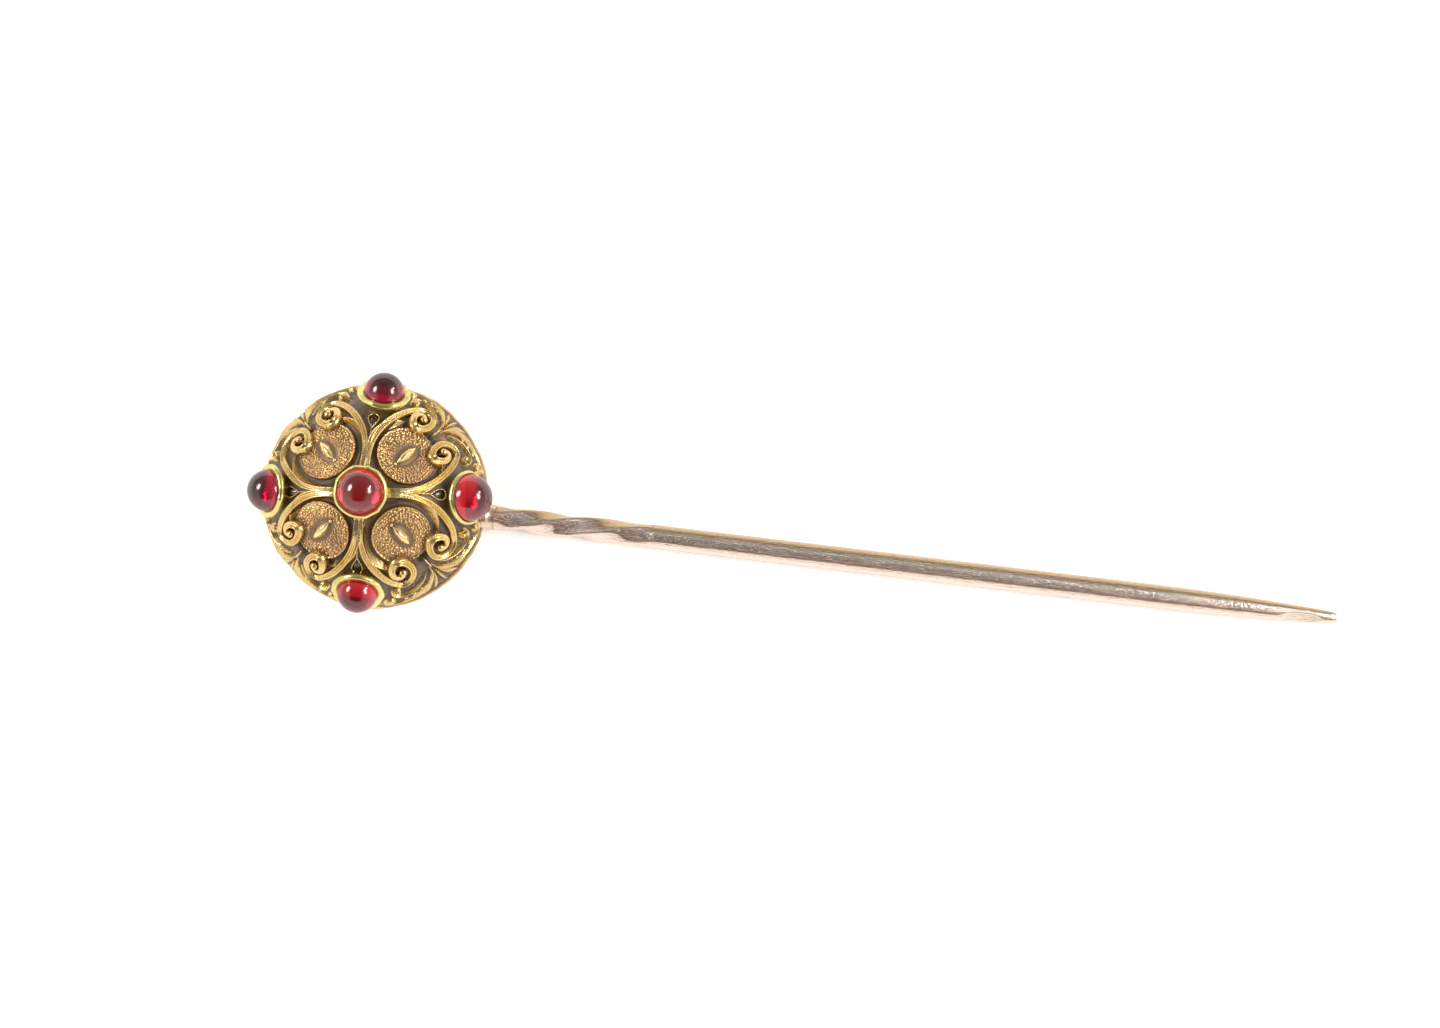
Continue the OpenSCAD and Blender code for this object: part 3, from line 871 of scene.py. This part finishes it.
def palmette(name, mid):
    """Seven fronds that fan out from under a petal's bud to the rim."""
    fronds = [[[62, 0], [70, 0], [82.5, 0]]]
    for turn in (1, -1):
        fronds += [[[62.5, turn * 1.4], [70, turn * 3.2], [82.5, turn * 7]],
                   [[66, turn * 4.4], [73, turn * 8.2], [82.5, turn * 13.5]],
                   [[76.5, turn * 16.5], [81.5, turn * 22], [83.4, turn * 33]]]
    parts = [sweep(tapered(frond, mid, 1, 0.32, 0.24), ridge_section(11, 0.9), 0.15)
             for frond in fronds]
    relief(f"palmette_fronds_{name}", parts, f"palmette_{name}")


def drop_bead(name, arm):
    """Dark drop in the fork of an arm."""
    rows = tapered([[35.4, 0], [39.6, 0], [43.4, 0]], arm, 1, 0.46, 0.2, 0.75)
    relief(f"fork_drop_{name}", [sweep(rows, round_section(), 0.12)], f"drop_bead_{name}",
           drop_dark)


def fork_loop(name, arm):
    """Fine wire along the middle of an arm and round the dark drop in its fork."""
    bend = np.linspace(0, 2 * math.pi, 60)
    loop = np.column_stack([39.6 - 4.6 * np.cos(bend), 5.2 * np.sin(bend) * np.sin(bend / 2)])
    keel = np.column_stack([np.linspace(25, 35.2, 20), np.zeros(20)])
    parts = [sweep(np.column_stack([line[:, 0], arm + line[:, 1], np.full(len(line), 0.13),
                                    np.full(len(line), 0.16)]), round_section(9), 0.12)
             for line in (keel, loop)]
    relief(f"fork_loop_{name}", parts)


# ---- Settings ----

COLLET_SEED = 20
# Upper end of the random phases, in radians
ANY_PHASE = 6.28


def collet(name, tilt, turn, seed):
    """Thick hand-hammered collet: an uneven flared wall with a lip rubbed over the stone."""
    local = np.random.default_rng(seed)
    around = 160
    f = np.linspace(0, 2 * math.pi, around, endpoint=False)
    stone_r = stone_radius(name)
    # Radius and height, from the foot up the flared wall and over the lip to the stone
    outline = spline([[1.02, DOME_R - 0.3], [1.06, DOME_R + 0.02], [1.2, DOME_R + 0.2],
                      [1.38, DOME_R + 0.38], [LIP_R - 0.01, LIP_TOP - 0.22],
                      [LIP_R - 0.03, LIP_TOP - 0.09], [LIP_R - 0.11, LIP_TOP - 0.01],
                      [(LIP_R + stone_r) / 2 - 0.03, LIP_TOP],
                      [stone_r + 0.01, LIP_TOP - 0.03], [stone_r - 0.03, LIP_TOP - 0.1],
                      [stone_r - 0.02, LIP_TOP - 0.3]], 5)
    outline = np.vstack([outline, [[0.8, LIP_TOP - 0.36], [0.8, DOME_R - 0.3]]])
    waves = sum(local.uniform(0.3, 1) * np.cos(k * f + local.uniform(0, ANY_PHASE))
                for k in (2, 3, 5, 7)) / 2.4
    uneven = local.uniform(0, ANY_PHASE, 3)
    facets = -np.abs(np.sin(4.5 * f + 1.1 * np.sin(f + uneven[0])
                            + 0.9 * np.sin(3 * f + uneven[1])))
    facets *= 0.55 + 0.45 * np.sin(2 * f + uneven[2])
    high = smooth(outline[:, 1], DOME_R + 0.1, LIP_TOP - 0.2)
    outer = smooth(outline[:, 0], stone_r + 0.02, LIP_R - 0.05)
    r = outline[:, 0][:, None] + (high * outer)[:, None] * (0.06 * facets + 0.02 * waves)[None]
    r += (high * (1 - outer))[:, None] * np.minimum(0.03 * waves, 0.02)[None]
    z = outline[:, 1][:, None] + high[:, None] * (0.04 * waves + 0.04 * facets - 0.01)[None]
    verts = np.stack([r * np.cos(f), r * np.sin(f), z], axis=-1).reshape(-1, 3)
    make_piece(f"hammered_collet_{name}", on_axis(verts, tilt, turn),
               grid_faces(len(outline), around, True, True), collet_gold,
               f"collet_{name}")


def cabochon(name, tilt, turn):
    """High round cabochon with a flat back."""
    around, steps = 96, 40
    stone_r = stone_radius(name)
    t = np.linspace(0, math.pi / 2, steps)[1:]
    profile = np.vstack([np.column_stack([stone_r * np.sin(t), STONE_CENTRE + stone_r * np.cos(t)]),
                         [[stone_r, STONE_BASE + 0.04], [stone_r - 0.04, STONE_BASE]]])
    f = np.linspace(0, 2 * math.pi, around, endpoint=False)
    ring = np.stack([profile[:, 0][:, None] * np.cos(f), profile[:, 0][:, None] * np.sin(f),
                     np.repeat(profile[:, 1][:, None], around, 1)], axis=-1).reshape(-1, 3)
    verts = np.vstack([ring, [[0, 0, STONE_CENTRE + stone_r]], [[0, 0, STONE_BASE]]])
    faces = grid_faces(len(profile), around, True)
    top, bottom = len(ring), len(ring) + 1
    last = (len(profile) - 1) * around
    for j in range(around):
        k = (j + 1) % around
        faces.append([top, j, k])
        faces.append([bottom, last + k, last + j])
    make_piece(f"cabochon_{name}", on_axis(verts, tilt, turn), faces, garnets[name],
               f"garnet_{name}")


# ---- Rim and stem ----

def rim_ring():
    """Rim worn a little uneven, open where the stem leaves."""
    around = 420
    gap = math.degrees(math.asin((STEM_R + 0.03) / RIM_R))
    middle = math.degrees(math.asin(STEM_Y / RIM_R))
    f = np.radians(np.linspace(middle + gap, middle + 360 - gap, around))
    inner = DOME_R - 0.42
    outline = np.array([[inner, 0.0], [RIM_R - 0.06, 0.0], [RIM_R - 0.01, 0.05], [RIM_R, 0.16],
                        [RIM_R - 0.02, 0.3], [RIM_R - 0.09, RIM_H - 0.08], [DOME_R - 0.02, RIM_H],
                        [inner, RIM_H]])
    # Worn uneven, with a shallow notch under the middle of each petal
    wear = 0.02 * np.sin(7 * f) + 0.016 * np.sin(17 * f + 1) + 0.01 * np.sin(41 * f)
    outer = smooth(outline[:, 0], DOME_R - 0.1, RIM_R - 0.05)
    notch = sum(np.exp(-((np.degrees(f) - float(skewed(mid)) + 180) % 360 - 180) ** 2 / 20)
                for mid in PETALS.values())
    r = outline[:, 0][:, None] + outer[:, None] * (wear - 0.12 - 0.04 * notch)[None]
    verts = np.stack([(r * np.cos(f)).T, (r * np.sin(f)).T,
                      np.repeat(outline[:, 1][None], around, 0)], axis=-1).reshape(-1, 3)
    faces = capped(around, len(outline))
    outline_crest = np.array([[0.2, 0.3, 0.45, 0.7, 0.6, 0.4, 0.15, 0.1]])
    crest = np.repeat(outline_crest, around, 0).ravel()
    make_piece("rim_worn", verts, faces, rim_gold, "rim_ring", crest)


# Where along X, in millimetres, the twist starts and ends and the taper starts
TWIST_FROM = 6.6
TWIST_TO = 15.6
TAPER_FROM = 44.0
# The twist's bearing in degrees: at its start, then by its length and the square of it
TWIST_START, TWIST_LINEAR, TWIST_SQUARE = 127, -284, 60
# How square the twisted part is, and its size beside the round part's
TWIST_POWER = 5
TWIST_SIZE = 0.83
# Length of the rounded end
END_ROUND = 0.4
# Part of its radius that the stem has lost at its end
TAPER = 0.52
# Facet ground near the point: its middle along X, half its length and width, and its direction
FACET_AT = 52.2
FACET_HALF_L = 1.25
FACET_HALF_W = 0.32
# Its direction puts the facet in the bright -Y band of the stem's painted reflections, which paints
# its highlight
FACET_LEAN = 121.0


def stem_radius(x):
    """Radius of the round stem along X: plain, then a long soft taper to a blunt end."""
    t = np.clip((x - TAPER_FROM) / (TIP_X - TAPER_FROM), 0, 1)
    r = (STEM_R - 0.02) * (1 - TAPER * t ** 1.9)
    left = np.clip((TIP_X - x) / END_ROUND, 0, 1)
    return r * np.sqrt(1 - (1 - left) ** 2)


def pin_stem():
    """The wire: round, but squared and twisted beside the head, with a facet near its point."""
    around = 120
    x = np.concatenate([np.linspace(stem_low[0], TWIST_FROM, 40, endpoint=False),
                        np.linspace(TWIST_FROM, TWIST_TO, 220, endpoint=False),
                        np.linspace(TWIST_TO, TAPER_FROM, 90, endpoint=False),
                        np.linspace(TAPER_FROM, TIP_X - END_ROUND, 160, endpoint=False),
                        TIP_X - END_ROUND * (1 - np.sin(np.linspace(0, math.pi / 2, 16)))[:-1]])
    f = np.linspace(0, 2 * math.pi, around, endpoint=False)
    t = np.clip((x - TWIST_FROM) / (TWIST_TO - TWIST_FROM), 0, 1)
    flat = np.sin(math.pi * t) ** 0.5
    turn = np.radians(TWIST_START + TWIST_LINEAR * t + TWIST_SQUARE * t ** 2)
    angle = f[None] - turn[:, None]
    square = 1 / (np.abs(np.cos(angle)) ** TWIST_POWER
                  + np.abs(np.sin(angle)) ** TWIST_POWER) ** (1 / TWIST_POWER)
    shape = 1 + flat[:, None] * (TWIST_SIZE * square - 1)
    r = stem_radius(x)[:, None] * shape
    half = FACET_HALF_W * np.sqrt(np.clip(1 - ((x - FACET_AT) / FACET_HALF_L) ** 2, 0, 1))
    depth = np.sqrt(np.clip(stem_radius(x) ** 2 - half ** 2, 0, None))
    lean = np.cos(f - math.radians(FACET_LEAN))
    least = 0.2
    cut = np.minimum(r, depth[:, None] / np.maximum(lean, least)[None])
    r = np.where(lean[None] > least, cut, r)
    verts = np.stack([np.repeat(x[:, None], around, 1), STEM_Y + r * np.cos(f)[None],
                      STEM_Z + r * np.sin(f)[None]], axis=-1).reshape(-1, 3)
    make_piece("twisted_stem", verts, capped(len(x), around), stem_gold, "pin_stem")


def solder_fillet():
    """Run of solder where the stem leaves the head."""
    rows, around = 14, 48
    low, high = box_mm("stem_solder")
    t = np.linspace(0, 1, rows)
    f = np.linspace(-0.25 * math.pi, 1.25 * math.pi, around)
    reach = 0.84 + 0.1 * np.sin(2 * f + 1) + 0.06 * np.sin(5 * f)
    x = low[0] + (high[0] - low[0]) * t[:, None] * reach[None]
    swell = STEM_R - 0.01 + 0.12 * (1 - t)[:, None] ** 1.6
    swell = swell + 0.02 * np.sin(3 * f + 2)[None] * (1 - t)[:, None]
    verts = np.stack([x, STEM_Y + swell * np.cos(f)[None], STEM_Z + swell * np.sin(f)[None]],
                     axis=-1).reshape(-1, 3)
    make_piece("solder_run", verts, grid_faces(rows, around, False), solder_gold,
               "stem_solder")


# ---- Camera, light and floor ----

# The camera looks straight down: its place and the width that it shows in mm, and its roll
CAMERA_X, CAMERA_Y, CAMERA_H = 19.28, 1.3, 187.0
PHOTO_WIDTH = 80.9
ROLL = 6.8
SENSOR = 36.0


def camera():
    data = bpy.data.cameras.new("camera")
    data.sensor_width = SENSOR
    data.lens = SENSOR * CAMERA_H / PHOTO_WIDTH
    data.clip_start = 0.01
    data.clip_end = 5.0
    item = bpy.data.objects.new("camera", data)
    item.location = (CAMERA_X * MM, CAMERA_Y * MM, CAMERA_H * MM)
    item.rotation_euler = (0, 0, math.radians(ROLL))
    bpy.context.scene.collection.objects.link(item)
    bpy.context.scene.camera = item


def softbox(name, place, size, power, colour=(1, 1, 1)):
    """Oval area light that faces the head; place and size in mm."""
    data = bpy.data.lights.new(name, "AREA")
    data.shape = "ELLIPSE"
    data.size, data.size_y = size[0] * MM, size[1] * MM
    data.energy = power
    data.color = colour
    item = bpy.data.objects.new(name, data)
    where = np.array(place) * MM
    item.location = where
    item.rotation_euler = Vector(-where).to_track_quat("-Z", "Y").to_euler()
    item.visible_camera = False
    bpy.context.scene.collection.objects.link(item)


def world():
    """Pale studio with the dark strip overhead that a camera and its arm make."""
    item = bpy.data.worlds.new("studio")
    bpy.context.scene.world = item
    item.use_nodes = True
    nodes, links = item.node_tree.nodes, item.node_tree.links
    nodes.clear()
    out = nodes.new("ShaderNodeOutputWorld")
    back = nodes.new("ShaderNodeBackground")
    links.new(back.outputs["Background"], out.inputs["Surface"])
    coords = nodes.new("ShaderNodeTexCoord").outputs["Generated"]
    split = nodes.new("ShaderNodeSeparateXYZ")
    links.new(coords, split.inputs["Vector"])
    x, y, z = (split.outputs[k] for k in "XYZ")
    up = math_node(nodes, links, "MAXIMUM", z, 0.001)
    # How far a direction leans from straight up, along X and along Y
    across = math_node(nodes, links, "ABSOLUTE", math_node(nodes, links, "DIVIDE", x, up), 0)
    along = math_node(nodes, links, "DIVIDE", y, up)
    strip = map_range(nodes, links, across, 0.5, 1.2, 1.0, 0.0)
    north = map_range(nodes, links, along, 1.9, 2.9, 1.0, 0.0)
    south = map_range(nodes, links, along, -1.3, -1.15, 0.0, 1.0)
    dark = math_node(nodes, links, "MULTIPLY", strip,
                     math_node(nodes, links, "MULTIPLY", north, south))
    room_level = map_range(nodes, links, y, -0.9, 0.6, 1.35, 0.5)
    strip_level = map_range(nodes, links, along, -0.9, 1.7, 0.09, 0.42)
    # The sockets 0, 2 and 3 of a Mix node for numbers are its factor, A and B
    level = nodes.new("ShaderNodeMix")
    level.data_type = "FLOAT"
    links.new(dark, level.inputs[0])
    links.new(room_level, level.inputs[2])
    links.new(strip_level, level.inputs[3])
    links.new(level.outputs[0], back.inputs["Strength"])
    back.inputs["Color"].default_value = (1.0, 0.985, 0.965, 1)


def floor():
    """Square tabletop under the pin, 6 m a side."""
    size = 3.0
    mesh = bpy.data.meshes.new("floor")
    corners = [(-size, -size, 0), (size, -size, 0), (size, size, 0), (-size, size, 0)]
    mesh.from_pydata(corners, [], [(0, 1, 2, 3)])
    item = bpy.data.objects.new("floor", mesh)
    mesh.materials.append(floor_material())
    bpy.context.scene.collection.objects.link(item)


# ---- Making ----

camera()
world()
floor()
softbox("window", (190, 120, 110), (26, 26), 0.08, (0.9, 0.95, 1))
softbox("left_box", (-200, 60, 165), (130, 80), 0.34)
softbox("right_box", (210, 60, 170), (130, 80), 0.34)

for petal_name, petal_mid in PETALS.items():
    petal_wire(petal_name, petal_mid)
    navette(petal_name, petal_mid)
    scallop_wire(petal_name, petal_mid)
    palmette(petal_name, petal_mid)
for arm_name, arm_at in ARMS.items():
    drop_bead(arm_name, arm_at)
    fork_loop(arm_name, arm_at)
for petal_name, petal_mid in PETALS.items():
    stippled_pad(petal_name, petal_mid)
head_shell()
head_lining()
rim_ring()
for number, (setting_name, place) in enumerate(SETTINGS.items()):
    collet(setting_name, *place, COLLET_SEED + number)
    cabochon(setting_name, *place)
pin_stem()
solder_fillet()

# CAD nodes that keep their own shape
kept_nodes = {"back_plate": plate_gold, "stem_saddle": plate_gold}
kept_nodes |= {f"foil_{setting_name}": foil for setting_name in SETTINGS}
for node_name, material in kept_nodes.items():
    part = frame["nodes"][node_name]
    part.data.materials.clear()
    part.data.materials.append(material)

bpy.context.scene.view_settings.view_transform = "Standard"
